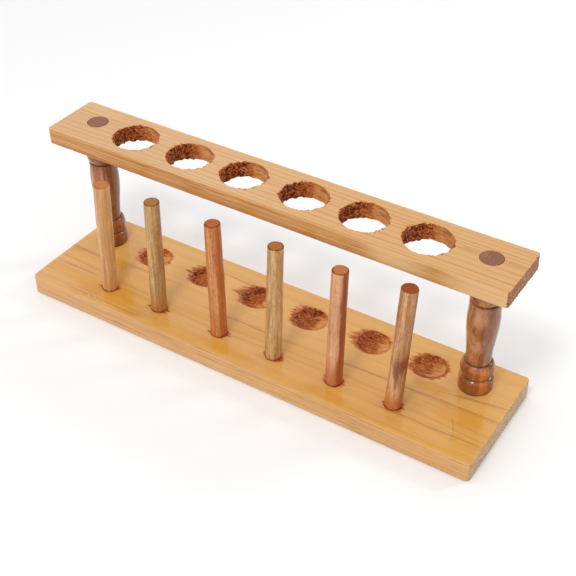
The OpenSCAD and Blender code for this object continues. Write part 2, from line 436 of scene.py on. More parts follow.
def torn_fibres_and_bowl_shade(x, y, number):
    """How torn and soaked the wood is round one dimple, 0 to 1: a fan of lifted fibres along the grain.
    Inside the bowl it also carries painted shade: the back-left inner wall and the front and right rims.
    """
    cx, cy = DIMPLE_AT[number]
    dx, dy = x - cx, y - cy
    seed = 300 + 11 * number
    bowl = np.hypot(dx, dy) / DIMPLE_R
    u, v = dx / DIMPLE_R, dy / DIMPLE_R
    wander = rough(x / 2.6, y / 1.2, seed=seed + 2)
    left, right = TORN_LEFT[number], TORN_RIGHT[number]
    bowl_tear_and_shade = 0.6 * left * (1 - ease((u - 0.02 + 0.35 * wander) / 0.6)) + 0.06
    # Painted shade: the back-left inner wall of the bowl, and below, the front rim and a thin line along the
    # right rim.
    back_left_shade = np.clip(0.35 - 0.75 * u + 0.75 * v, 0, 1)
    bowl_tear_and_shade = bowl_tear_and_shade + 0.5 * left * back_left_shade * hump(bowl, 0.8, 0.2)
    front = np.clip(-v - 0.25, 0, 1)
    bowl_tear_and_shade = bowl_tear_and_shade + (0.25 + 0.5 * right) * front * hump(bowl, 0.88, 0.14)
    bowl_tear_and_shade = bowl_tear_and_shade + (0.35 + 0.25 * right) * hump(bowl, 0.96, 0.05) * ease((u + 0.2) / 0.5)
    width = DIMPLE_R * 1.05
    rim = np.sqrt(np.clip(width ** 2 - dy ** 2, 0, None))
    band = ease((width + 0.7 - np.abs(dy)) / 1.8)
    fibre = noise_share(y / 0.75, x / 14, seed=seed)
    fibre = 0.6 * fibre + 0.4 * noise_share(y / 2.3, seed=seed + 1)
    reach_left = 1.4 + 8.0 * fibre ** 1.8 * left
    reach_right = 0.4 + 4.8 * (1 - fibre) ** 1.5 * right
    fan_left = fade(-dx - rim, reach_left) * (dx < 0)
    fan_right = fade(dx - rim, reach_right) * (dx >= 0)
    hairs = noise_share(y / 0.42, x / 4.5, seed=seed + 6)
    lifted = np.where(dx < 0, 0.8 * left * fan_left ** 0.8, 0.8 * right ** 0.6 * fan_right ** 1.2)
    outside = band * lifted * (0.4 + 0.85 * hairs)
    in_bowl = bowl < 1
    return np.clip(np.where(in_bowl, bowl_tear_and_shade, outside), 0, 1), in_bowl


def base_relief(x, y):
    """Height of the base's top face over flat, and its marks: torn wood (in the dimples with painted shade),
    glue at the dowels, dimples.
    """
    height = 0.05 * noise(x / 19, y / 9, seed=201) + 0.02 * noise(x / 30, y / 1.3, seed=202)
    torn, glue, bowls = np.zeros_like(x), np.zeros_like(x), np.zeros_like(x)
    for number, (cx, cy) in enumerate(DIMPLE_AT):
        near = (np.abs(x - cx) < 19) & (np.abs(y - cy) < 10.5)
        px, py = x[near], y[near]
        tear, in_bowl = torn_fibres_and_bowl_shade(px, py, number)
        grooves = noise(px / 2.8, py / 0.75, seed=220 + number)
        crumbs = rough(px / 1.5, py / 1.1, seed=240 + number)
        lift = np.where(in_bowl, 0.55 * crumbs - 0.12, 0.3 * grooves - 0.1)
        height[near] += np.clip(tear * 1.5, 0, 1) * lift * np.where(in_bowl, ease(tear / 0.5), 1)
        torn[near] = np.maximum(torn[near], tear)
        size = np.hypot(px - cx, py - cy) / DIMPLE_R
        bowls[near] = np.maximum(bowls[near], 1 - ease((size - 0.92) / 0.12))
    for number in range(6):
        foot, _, _ = peg_foot(number)
        near = np.hypot(x - foot[0], y - foot[1]) < 9
        px, py = x[near], y[near]
        dx, dy = px - foot[0], py - foot[1]
        distance, turn = np.hypot(dx, dy), np.arctan2(dy, dx)
        gap, along = distance - PEG_SOCKET_R, np.abs(dx) / np.maximum(distance, TINY)
        seed = 260 + 5 * number
        fibre = noise_share(py / 0.7, np.sign(dx) * 2, seed=seed)
        around = noise_share(turn * 4, seed=seed + 4)
        tear = fade(gap, 0.4 + 0.45 * around + 3.4 * fibre ** 1.3 * along ** 4)
        torn[near] = np.maximum(torn[near], (0.65 + 0.35 * along ** 2) * tear ** 0.8)
        lift = 0.32 * fibre * noise(px / 0.9, py / 0.7, seed=seed + 2) * along ** 2
        bead = fade(np.abs(gap - 0.5), 0.6) * np.clip(noise(turn * 3, seed=seed + 3) + 0.1, 0, 1)
        height[near] += tear * lift + 0.22 * bead
        glue[near] = np.maximum(glue[near], bead)
    return height, {"torn": torn, "glue": glue, "bowl": bowls}


def base_board():
    board = Board(BASE_LO, BASE_HI)
    half_l, half_w, top = board.half_l, board.half_w, BASE_HI[2]
    feet = [peg_foot(n)[0] for n in range(6)]
    posts = [tuple(c) for c in TENON_AT]
    back_x = [c[0] for c in [posts[0]] + DIMPLE_AT + [posts[1]]]
    front_x = [posts[0][0]] + [f[0] for f in feet] + [posts[1][0]]
    back_y, front_y = posts[0][1], float(np.mean([f[1] for f in feet]))
    back_off, front_off = across_one(DIMPLE_R, DIMPLE_REACH), across_one(PEG_SOCKET_R, PEG_REACH)
    along_back = lines_along(-half_l, half_l, back_x, back_off)
    along_front = lines_along(-half_l, half_l, front_x, front_off)
    gap_from, gap_to = front_y + front_off[-1], back_y + back_off[0]
    front_edge = -half_w + np.array([0, 0.3, 0.65, 1.0, 1.4, 1.8, 2.3, 2.8])
    before = np.linspace(front_edge[-1], front_y + front_off[0], 5)[1:-1]
    between = np.linspace(gap_from, gap_to, 19)[1:-1]
    behind = np.linspace(back_y + back_off[-1], half_w - 1.2, 6)[1:]
    across = np.concatenate([front_edge, before, front_y + front_off, between, back_y + back_off, behind,
                             half_w - np.array([0.8, 0.4, 0.0])])
    share = ease((across - gap_from) / (gap_to - gap_from))
    x = along_front[:, None] * (1 - share) + along_back[:, None] * share
    y = np.repeat(across[None], len(x), axis=0)
    z = np.full_like(x, top)
    front_row = len(front_edge) + len(before) + RING_STEPS
    back_row = front_row + len(front_off) + len(between)
    columns = [END_LINES + RING_STEPS + n * (len(back_off) + GAP_LINES - 1) for n in range(8)]
    bowl_r = (DIMPLE_R ** 2 + DIMPLE_DEEP ** 2) / (2 * DIMPLE_DEEP)
    for column, centre in zip(columns[1:], DIMPLE_AT):
        js, ks, ring = open_round(x, y, column, back_row, centre, DIMPLE_R, DIMPLE_R, DIMPLE_REACH)
        bowl = DIMPLE_DEEP - bowl_r + np.sqrt(bowl_r ** 2 - np.minimum(ring, DIMPLE_R) ** 2)
        z[js, ks] -= np.where(ring < DIMPLE_R, np.maximum(bowl, 0), 0)
    for column, centre in zip((columns[0], columns[-1]), posts):
        js, ks, ring = open_round(x, y, column, back_row, centre, TENON_HOLE_R, DIMPLE_R, DIMPLE_REACH)
        z[js, ks] = np.where(ring < DIMPLE_R - 0.01, top - POST_SUNK, top)
    for column, foot in zip(columns[1:], feet):
        js, ks, ring = open_round(x, y, column, front_row, foot, PEG_SOCKET_R, PEG_SOCKET_R, PEG_REACH)
        z[js, ks] = np.where(ring < PEG_SOCKET_R - 0.01, top - PEG_SUNK, top)
    outline = [(x[0], y[0]), (x[:, -1], y[:, -1]), (x[-1, ::-1], y[-1, ::-1]), (x[::-1, 0], y[::-1, 0])]
    x, y, _, _ = board.rounded(x, y)
    board.shell.patch(np.stack([x, y, z], axis=-1))
    bottom = [board.skirt(run_x, run_y, 10)[:-1] for run_x, run_y in outline]
    board.shell.cap(np.concatenate(bottom))
    mesh = board.shell.weld()
    clean = places(mesh)
    points = board.hand_made(clean, 5, 13, 25, 1.0)
    height, marks = base_relief(clean[:, 0], clean[:, 1])
    skin = ease((clean[:, 2] - (top - 3.6)) / 1.2)
    points[:, 2] += height * skin
    marks = {name: values * skin for name, values in marks.items()}
    piece = make_piece("dimpled_base_board", mesh, points, marks, honey_base())
    place(piece, "base_board")


# ---- turned posts and dowels

def lathe(rings, around):
    """A turned shell from (radius, height) rings, closed at both ends."""
    angle = np.linspace(0, 2 * math.pi, around, endpoint=False)
    shell = Shell()
    grid = [np.stack([r * np.cos(angle), r * np.sin(angle), np.full(around, z)], axis=-1) for r, z in rings]
    shell.patch(np.array(grid), closed=True)
    return shell.weld()


def swollen(clean, amount):
    """A turned piece's points moved outwards from its middle line by that many millimetres."""
    grow = 1 + amount / np.maximum(np.hypot(clean[:, 0], clean[:, 1]), 1)
    return clean * np.stack([grow, grow, np.ones_like(grow)], axis=-1)


def post_rings(height):
    """A post's outline from its lower tenon to the flush end of the upper one."""
    top_t = TOP_HI[2] - TOP_LO[2]
    gap = height - top_t
    rings = [(0.0, -POST_SUNK), (2.5, -POST_SUNK), (TENON_R, -POST_SUNK)]
    rings += [(TENON_R, -POST_SUNK / 2), (TENON_R, 0.02)]
    rings += [(FOOT_R - 0.25, 0.02), (FOOT_R - 0.05, 0.2), (FOOT_R, 0.6)]
    rings += [(FOOT_R + 0.06 * math.sin(math.pi * t), 0.6 + t * 4.8) for t in np.linspace(0.1, 1, 10)]
    for a in np.radians(np.linspace(0, 75, 10)[1:]):
        rings.append((FOOT_R - 2 * (1 - math.cos(a)), FOOT_H - 0.4 - 2 * (1 - math.sin(a))))
    rings += [(GROOVE_R + 0.15, FOOT_H - 0.3), (GROOVE_R, FOOT_H), (GROOVE_R + 0.1, FOOT_H + 0.12)]
    for a in np.radians(np.linspace(-90, 90, 30)[1:]):
        waist = GROOVE_R if a < 0 else NECK_R
        rings.append((waist + (BEAD_R - waist) * math.cos(a), FOOT_H + BEAD_H / 2 * (1 + math.sin(a))))
    low, high = FOOT_H + BEAD_H, gap - COLLAR_H
    for t in np.linspace(0, 1, 56)[1:]:
        if t < BELLY_AT:
            r = NECK_R + (BELLY_R - NECK_R) * (1 - math.cos(math.pi * t / BELLY_AT)) / 2
        else:
            turn = math.pi * (t - BELLY_AT) / (1 - BELLY_AT)
            r = SHOULDER_R + (BELLY_R - SHOULDER_R) * (1 + math.cos(turn)) / 2
        rings.append((r, low + (high - 0.8 - low) * t))
    rings += [(SHOULDER_R - 0.08, high - 0.55), (SHOULDER_R - 0.35, high - 0.25)]
    rings += [(CREASE_R + 0.1, high - 0.05), (CREASE_R, high + 0.15)]
    for a in np.radians(np.linspace(0, 90, 14)):
        rings.append((CREASE_R + (COLLAR_R - CREASE_R) * math.sin(a), high + 0.4 + 3.5 * (1 - math.cos(a))))
    rings += [(COLLAR_R, z) for z in np.linspace(high + 3.9, gap - 0.6, 8)[1:]]
    rings += [(COLLAR_R - 0.1, gap - 0.2), (COLLAR_R - 0.35, gap - 0.02), (TENON_R, gap - 0.02)]
    rings += [(TENON_R, gap + t) for t in np.linspace(0.6, top_t - 0.35, 6)]
    rings += [(TENON_R - 0.02, height - 0.12), (TENON_R - 0.12, height - 0.01)]
    rings += [(r, height + 0.02) for r in (4.6, 4.0, 3.2, 2.3, 1.4, 0.6, 0.0)]
    return rings


def turned_post(side, seed):
    lo, hi = POST_BOXES[side]
    centre = (lo + hi) / 2
    base_top = BASE_HI[2]
    mesh = lathe(post_rings(hi[2] - base_top), 96)
    clean = places(mesh)
    x, y, z = clean.T
    radius = np.hypot(x, y)
    angle = np.arctan2(y, x)
    shown = ease((z - 0.1) / 1.0) * ease((hi[2] - base_top - 8.2 - z) / 1.0) * (radius > 0.5)
    swell = 0.09 * noise(np.cos(angle) * 1.1, np.sin(angle) * 1.1, z / 14, seed)
    tool = 0.018 * np.sin(z * 5.1 + 0.6 * noise(z / 3, seed=seed + 1))
    points = swollen(clean, shown * (swell + tool + 0.015 * noise(z / 0.5, seed=seed + 2)))
    end = (z > hi[2] - base_top - 0.05)
    points[:, 2] += end * 0.05 * noise(x / 1.1, y / 2.5, seed=seed + 3)
    points += np.array([centre[0], centre[1], base_top])
    piece = make_piece("turned_post_" + side, mesh, points, {}, walnut_post(side, centre, seed), crease=42)
    place(piece, "post_" + side)


def peg_rings(length, foot_r, top_r):
    """A dowel's outline: its thin glued end, its slightly tapering length and its softened top."""
    low, high = 1.8, length - PEG_ROUND
    rings = [(0.0, -PEG_SUNK), (PEG_END_R, -PEG_SUNK), (PEG_END_R, -PEG_SUNK / 2), (PEG_END_R, -0.6)]
    rings += [(PEG_END_R, 0.0), (PEG_END_R, 0.12), (PEG_END_R + 0.05, 0.3)]
    rings += [(foot_r - 0.06, 0.6), (foot_r, 1.0)]
    rings.append((foot_r, low))
    for z in np.linspace(low, high - 0.3, 64)[1:]:
        rings.append((foot_r + (top_r - foot_r) * (z - low) / (high - low), z))
    for a in np.radians(np.linspace(0, 80, 8)):
        rings.append((top_r - PEG_ROUND + PEG_ROUND * math.cos(a), high + PEG_ROUND * math.sin(a)))
    rings += [(r, length) for r in (top_r - PEG_ROUND - 0.12, 2.6, 2.0, 1.4, 0.7, 0.0)]
    return rings


def dowel(number):
    foot, axis, length = peg_foot(number)
    seed = 500 + 13 * number
    mesh = lathe(peg_rings(length, *PEG_TAPER[number]), 72)
    clean = places(mesh)
    x, y, z = clean.T
    angle = np.arctan2(y, x)
    radius = np.hypot(x, y)
    shown = ease(z / 1.5) * ease(radius - 1)
    uneven = noise(np.cos(angle) * 1.4, np.sin(angle) * 1.4, z / 17, seed)
    oval = 0.05 * np.cos(2 * angle + seed) + 0.07 * uneven
    flats = 0.035 * noise(angle * 2.2, z / 30, seed=seed + 1)
    flats = flats + 0.015 * noise(angle * 9, z / 6, seed=seed + 2)
    points = swollen(clean, shown * (oval + flats))
    rim = ease((z - (length - 1.2)) / 0.8)
    worn = np.clip(noise(angle * 1.6, seed=seed + 3), 0, 1)
    grain = 0.04 * noise(x / 0.8, y / 0.8, seed=seed + 4)
    points[:, 2] -= rim * (0.1 * worn * ease((radius - 2) / 1.7) + grain)
    mesh_name = "dowel_%d" % (number + 1)
    piece = make_piece(mesh_name, mesh, points, {}, dowel_finish(number, length), crease=40)
    turn = Vector((0, 0, 1)).rotation_difference(Vector(axis.tolist())).to_matrix().to_4x4()
    piece.matrix_world = Matrix.Translation(Vector((foot * MM).tolist())) @ turn
    place(piece, "peg_%d" % (number + 1))


# ---- the finishes

# Outputs of the texture coordinate node
GENERATED, NORMAL, OBJECT = 0, 1, 3
UNMOVED = (0.0, 0.0, 0.0)


def linear(red, green, blue):
    """A colour as mixed on a screen, each part from 0 to 255, made linear."""
    seen = (red, green, blue)
    return tuple(((c / 255 + 0.055) / 1.055) ** 2.4 if c > 10 else c / 3294 for c in seen) + (1.0,)


def sum_of(operation, swapped=False):
    """A method of Value that adds the node for one kind of sum."""
    def work_out(value, *others):
        terms = [*others, value] if swapped else [value, *others]
        return value.finish.node("ShaderNodeMath", {"operation": operation}, dict(enumerate(terms)))
    return work_out


class Value:
    """A number that changes over the surface. Sums on it add the nodes that work them out."""

    def __init__(self, finish, socket):
        self.finish, self.socket = finish, socket

    __add__ = __radd__ = sum_of("ADD")
    __mul__ = __rmul__ = sum_of("MULTIPLY")
    __sub__, __rsub__ = sum_of("SUBTRACT"), sum_of("SUBTRACT", swapped=True)
    __truediv__, __pow__ = sum_of("DIVIDE"), sum_of("POWER")
    most, fraction, size = sum_of("MAXIMUM"), sum_of("FRACT"), sum_of("ABSOLUTE")

    def far(self, other):
        """The length of a line that goes this far one way and that far across."""
        return (self * self + other * other) ** 0.5

    def over(self, low, high):
        """0 at low and below, 1 at high and above, and a smooth step between."""
        settings = {"interpolation_type": "SMOOTHSTEP"}
        ends = {"Value": self, "From Min": low, "From Max": high}
        return self.finish.node("ShaderNodeMapRange", settings, ends)

    def under(self, low, high):
        """1 at low and below, 0 at high and above, and a smooth step between."""
        return 1 - self.over(low, high)


class Finish:
    """One material and its nodes."""

    def __init__(self, name, owner=None):
        self.material = owner or bpy.data.materials.new(name)
        self.material.use_nodes = True
        self.tree = self.material.node_tree
        self.tree.nodes.clear()

    def node(self, kind, settings=None, sockets=None, output=0):
        """Adds a node: its settings come first, then the values or links of its sockets."""
        made = self.tree.nodes.new(kind)
        for key, value in (settings or {}).items():
            setattr(made, key, value)
        for key, value in (sockets or {}).items():
            if isinstance(value, Value):
                self.tree.links.new(value.socket, made.inputs[key])
            else:
                made.inputs[key].default_value = value
        return Value(self, made.outputs[output]) if made.outputs else None


class Wood(Finish):
    """Varnished wood, coloured by where a spot lies, in millimetres from a centre, and which way it faces.

    Its noise is moved by one shift of its own, so that no two woods match.
    """

    def __init__(self, name, shift, centre=UNMOVED):
        super().__init__(name)
        self.shift = shift
        here = self.node("ShaderNodeTexCoord", output=OBJECT)
        self.at = self.stretched(here, (1 / MM,) * 3, tuple(-c for c in centre))
        self.x, self.y, self.z = self.apart(self.at)
        normal = self.node("ShaderNodeTexCoord", output=NORMAL)
        self.faces_x, self.faces_y, self.faces_z = (part.size() for part in self.apart(normal))

    def apart(self, vector):
        return [self.node("ShaderNodeSeparateXYZ", {}, {0: vector}, output=n) for n in range(3)]

    def stretched(self, vector, scale, shift):
        parts = {0: vector, 1: scale, 2: shift}
        return self.node("ShaderNodeVectorMath", {"operation": "MULTIPLY_ADD"}, parts)

    def moved(self, across_x, across_y):
        """The spot moved sideways by two varying amounts."""
        aside = self.node("ShaderNodeCombineXYZ", {}, {"X": across_x, "Y": across_y, "Z": 0.0})
        return self.node("ShaderNodeVectorMath", {"operation": "ADD"}, {0: self.at, 1: aside})

    def cloud(self, lumps, detail=2.0, rough=0.5, at=None, shift=None):
        """Noise from 0 to 1 with lumps of that many millimetres along X, Y and Z."""
        at = self.stretched(at or self.at, tuple(1 / size for size in lumps), shift or self.shift)
        sockets = {"Vector": at, "Scale": 1.0, "Detail": detail, "Roughness": rough}
        return self.node("ShaderNodeTexNoise", {"noise_dimensions": "3D"}, sockets)

    def line_noise(self, along):
        """Noise from 0 to 1 that follows one number only."""
        return self.node("ShaderNodeTexNoise", {"noise_dimensions": "1D"}, {"W": along, "Scale": 1.0})

    def mark(self, name):
        """A mark that was put on the piece's points."""
        return self.node("ShaderNodeAttribute", {"attribute_name": name}, output=2)

    def blend(self, share, first, second):
        """Goes from the first colour to the second as the share goes from 0 to 1."""
        first, second = (linear(*c) if isinstance(c, tuple) else c for c in (first, second))
        sockets = {0: share, 6: first, 7: second}
        return self.node("ShaderNodeMix", {"data_type": "RGBA", "clamp_factor": True}, sockets, output=2)

    def paint(self, colour, *coats):
        """Lays coats over a colour one after another, each given as how much it covers and its colour."""
        for share, coat in coats:
            colour = self.blend(share, colour, coat)
        return colour

    def varnished(self, colour, roughness, height, depth, coat, coat_rough, coat_ior=1.42):
        """Wood under clear varnish. Height is raised by up to depth millimetres."""
        bump = self.node("ShaderNodeBump", {}, {"Strength": 1.0, "Distance": depth * MM, "Height": height})
        sockets = {"Base Color": colour, "Roughness": roughness, "Normal": bump, "Specular IOR Level": 0.06,
                   "Coat Weight": coat, "Coat Roughness": coat_rough, "Coat IOR": coat_ior}
        shader = self.node("ShaderNodeBsdfPrincipled", {}, sockets)
        self.node("ShaderNodeOutputMaterial", {}, {0: shader})
        return self.material


# ---- the boards' finishes

PINE = {
    "shift": (3.1, 7.7, 1.9), "pith": (-88.0, -28.0), "spacing": 1.95, "waver": 5.0, "rings_left": 0.55,
    "rings_right": 0.85, "pale": (217, 173, 126), "warm": (211, 166, 116), "right": (209, 161, 104),
    "ring": (180, 118, 64), "streak": (198, 144, 90), "fibre": (196, 142, 90), "patches": (55, 14, 14),
    "strands": 0.4, "fibres": 0.32, "grit": 0.38, "glints": 0.42, "edge_amount": 0.95,
    "edge": (204, 150, 86), "layer": (176, 112, 50), "dark_layer": (138, 78, 32), "worn_pale": 0.85,
    "end": 0.95, "end_pale": (184, 126, 68), "end_dark": (88, 44, 16),
    "torn": ((214, 140, 74), (182, 96, 40), (98, 36, 12), (246, 192, 134))}

HONEY = {
    "shift": (12.4, 2.2, 5.6), "pith": (92.0, -96.0), "spacing": 3.9, "waver": 13.0, "rings_left": 0.26,
    "rings_right": 0.36, "pale": (217, 167, 102), "warm": (213, 157, 74), "right": (215, 162, 84),
    "ring": (176, 108, 54), "streak": (196, 132, 70), "fibre": (186, 130, 62), "patches": (70, 7, 7),
    "strands": 0.35, "fibres": 0.26, "grit": 0.24, "glints": 0.45, "edge_amount": 0.6,
    "edge": (216, 168, 114), "layer": (198, 142, 84), "dark_layer": (146, 84, 44), "worn_pale": 0.0,
    "end": 0.85, "end_pale": (204, 172, 128), "end_dark": (138, 100, 66),
    "torn": ((202, 120, 50), (164, 76, 24), (104, 36, 8), (234, 180, 122))}


def year_rings(wood, looks):
    """Year rings of a board whose heart ran along X past its pith: thin dark lines that come and go."""
    pith, spacing, waver = looks["pith"], looks["spacing"], looks["waver"]
    aside = wood.y - pith[0] + (wood.cloud((110, 18, 18)) - 0.5) * waver
    below = wood.z - pith[1] + (wood.cloud((45, 3.5, 3.5), 1.0) - 0.5) * (waver * 0.12)
    away = aside.far(below)
    uneven, strong = (wood.line_noise(away * (beat / spacing)) for beat in (0.3, 0.9))
    turn = (away / spacing + uneven * 2.4).fraction()
    line = turn.over(0.42, 0.9) ** 2.0 * turn.under(0.92, 1.0)
    come_and_go = wood.cloud((70, 5, 5)).over(0.4, 0.62)
    return line * (0.25 + strong.over(0.38, 0.62) * 0.45 + come_and_go * 0.4)


def board_wood(wood, looks):
    """Plain varnished board: its colour, and the rings, fibres and strands that colour it."""
    rings = year_rings(wood, looks)
    fibres = wood.cloud((26, 0.4, 0.4), 3.0, 0.62)
    strands = wood.cloud((95, 1.1, 1.1), rough=0.55)
    patches = wood.cloud(looks["patches"]).over(0.3, 0.7)
    to_right = wood.x.over(-60, 90)
    firm = looks["rings_left"] + (looks["rings_right"] - looks["rings_left"]) * to_right
    colour = wood.paint(
        looks["pale"], (patches, looks["warm"]), (to_right, looks["right"]),
        (strands.over(0.52, 0.72) * looks["strands"], looks["streak"]),
        (fibres.over(0.42, 0.7) * looks["fibres"], looks["fibre"]), (rings * firm, looks["ring"]))
    return colour, rings, fibres, strands


def narrow_face(wood, colour, looks):
    """The long narrow faces show the wood's layers edge on, darker and more broken than the wide ones."""
    x, worn = wood.x, looks["worn_pale"]
    share = wood.faces_y.over(0.6, 0.9) * (1 - worn * x.over(48, 58) * x.under(68, 82))
    share = share * (1 - worn * x.over(84, 100))
    layers = wood.cloud((60, 60, 0.75), rough=0.6).over(0.46, 0.58)
    broken = wood.cloud((16, 16, 0.55), 3.0, 0.65).over(0.56, 0.68)
    return wood.paint(
        colour, (share * looks["edge_amount"], looks["edge"]), (share * layers * 0.75, looks["layer"]),
        (share * broken * 0.6, looks["dark_layer"]))


def end_grain(wood, colour, looks):
    """Sawn ends soak up varnish: darker and speckled with cut fibres."""
    pores = wood.cloud((0.6, 0.5, 0.5), rough=0.7)
    soft = wood.cloud((3, 2.2, 2.2), rough=0.6)
    soaked = wood.paint(looks["end_pale"], (pores.over(0.42, 0.62), looks["end_dark"]),
                        (soft.over(0.45, 0.7) * 0.5, looks["end_dark"]))
    share = wood.faces_x.over(0.45, 0.8) * looks["end"]
    return wood.blend(share, colour, soaked), share, pores


def torn_wood(wood, colour, looks):
    """Crumbled fibres: orange-brown where they just lift, soaked deep red-brown where they tore out. In the
    dimples the torn mark also holds painted shade, darkened the same way.
    """
    torn = wood.mark("torn")
    crumbs = wood.cloud((1.3, 0.85, 0.85), 3.0, 0.7)
    grit = crumbs.over(0.36, 0.64)
    strand = wood.cloud((5.5, 0.6, 0.6), 3.0, 0.65).over(0.37, 0.63)
    clumps = wood.cloud((4.0, 1.8, 1.8), rough=0.6).over(0.36, 0.64)
    depth = torn * (0.3 + grit * looks["grit"] + strand * 0.4 + clumps * 0.35)
    lifted, soaked, deep, glint = looks["torn"]
    # The pale glint on lifted crumbs is a painted highlight.
    bright = grit.under(0.1, 0.4) * strand.over(0.3, 0.7) * torn.over(0.3, 0.6)
    colour = wood.paint(colour, (depth.over(0.06, 0.26) * 0.9, lifted), (depth.over(0.24, 0.5), soaked),
                        (depth.over(0.62, 0.95), deep), (bright * looks["glints"], glint))
    return colour, depth.over(0.15, 0.6), crumbs


# Long reddish streaks in the base's top face: from x, to x, y at the first, rise of y per mm, half width
RED_STREAKS = [
    (-117, -93, -1.0, 0.0, 1.0), (-84, -58, 1.3, 0.02, 0.7), (-112, -90, -14.0, 0.03, 0.6),
    (-30, 18, -6.0, 0.0, 0.5), (40, 118, -4.6, 0.03, 0.55), (70, 118, -20.0, 0.02, 0.6),
    (92, 118, 3.0, 0.16, 0.6), (-96, -52, -27.6, 0.0, 0.35), (-38, -16, 20.2, -0.03, 0.5)]
# Painted reflection on the base, amber where the pegs and posts keep the bright room out of the varnish:
# middle, half length and half width
REFLECTION_POOLS = [(-78, -22, 20.0, 6.5), (-86, 0, 9.0, 4.0), (-6, -25, 16.0, 4.0),
               (48, -26, 12.0, 3.5), (102, -8, 12.0, 7.0), (84, 2, 10.0, 4.0)]


def red_streaks(wood, colour):
    """Resin-dark lines that run with the grain for a while and fade out."""
    drift = (wood.cloud((24, 9, 9), shift=UNMOVED) - 0.5) * 2.4
    for start, stop, begin, slope, half in RED_STREAKS:
        off = (wood.y - begin - (wood.x - start) * slope + drift).size()
        reach = wood.x.over(start - 6, start + 6) * wood.x.under(stop - 8, stop + 6)
        colour = wood.blend(off.under(0.0, half * 1.8) * reach * 0.5, colour, (166, 88, 42))
    return colour


def reflection_pools(wood, colour):
    """Painted reflection: the varnish looks amber where the pegs and posts hide the bright room from it."""
    ragged = (wood.cloud((9, 3, 3), 3.0, 0.6, shift=UNMOVED) - 0.5) * 1.3
    for middle_x, middle_y, half_l, half_w in REFLECTION_POOLS:
        across, along = (wood.y - middle_y) / half_w, (wood.x - middle_x) / half_l
        reflection = (across * across + along * along + ragged).under(0.25, 1.15)
        colour = wood.blend(reflection * 0.6, colour, (208, 142, 42))
    return colour


def plane_chatter(wood):
    """A short row of slanting ticks where the plane jumped, near the front left."""
    jump = wood.cloud((2.6, 2.6, 2.6), rough=0.6, shift=UNMOVED) - 0.5
    tick = (((wood.x + wood.y * 0.9 + jump * 1.6) / 1.45).fraction() - 0.5).size().under(0.06, 0.26)
    stretch = wood.x.over(-88.5, -86.5) * wood.x.under(-77.0, -74.5)
    low, high = wood.y + jump * 2.5, wood.y - jump * 3.0
    return tick * stretch * low.over(-29.4, -28.6) * high.under(-27.6, -26.4)


def arc_scratch(wood):
    """One faint curved scratch near the base's right end."""
    line = ((wood.x - 84.6).far(wood.y + 23.5) - 19.85).size().under(0.05, 0.28)
    return line * wood.y.over(-23.5, -21.5) * wood.y.under(-11.5, -9.5) * wood.x.over(94, 96)


def pine_top():
    wood = Wood("pine_top", PINE["shift"])
    x, z, low, high = wood.x, wood.z, TOP_LO[2], TOP_HI[2]
    colour, rings, fibres, strands = board_wood(wood, PINE)
    split = (wood.y - 14.6 + (strands - 0.5) * 0.8).size().under(0.05, 0.45) * x.over(85, 88)
    colour = wood.blend(split * 0.6, colour, (150, 84, 40))
    colour = narrow_face(wood, colour, PINE)
    upright = wood.faces_y.over(0.6, 0.9)
    handled = x.over(66, 84) * x.under(84, 102)
    rubbed = upright * x.over(46, 58) * (1 - handled * 0.6)
    lower = upright * z.under(low + 0.8, low + 3.0) * x.under(84, 96)
    colour = wood.paint(colour, (rubbed * 0.5, (224, 184, 134)), (lower * 0.4, (170, 102, 40)))
    colour, soaked, pores = end_grain(wood, colour, PINE)
    bore = wood.mark("bore").over(0.35, 0.75)
    bands = wood.cloud((7, 7, 0.8), 3.0, 0.65)
    wall = wood.paint(
        (218, 156, 94), (bands.over(0.42, 0.6), (166, 96, 44)),
        (z.over(high - 2.2, high - 0.6) * 0.5, (134, 70, 30)),
        (z.under(low + 0.6, low + 2.2) * 0.5, (222, 158, 92)))
    colour = wood.blend(bore, colour, wall)
    colour, mask, crumbs = torn_wood(wood, colour, PINE)
    roughness = 0.42 + fibres * 0.16 + mask * 0.1
    height = fibres * 0.35 + rings * 0.25 + mask * crumbs * 3.0 + soaked * pores * 0.8 + bore * bands * 0.8
    coat = 0.75 * (1 - mask * 0.75) * (1 - soaked * 0.6)
    return wood.varnished(colour, roughness, height, 0.16, coat, 0.2)


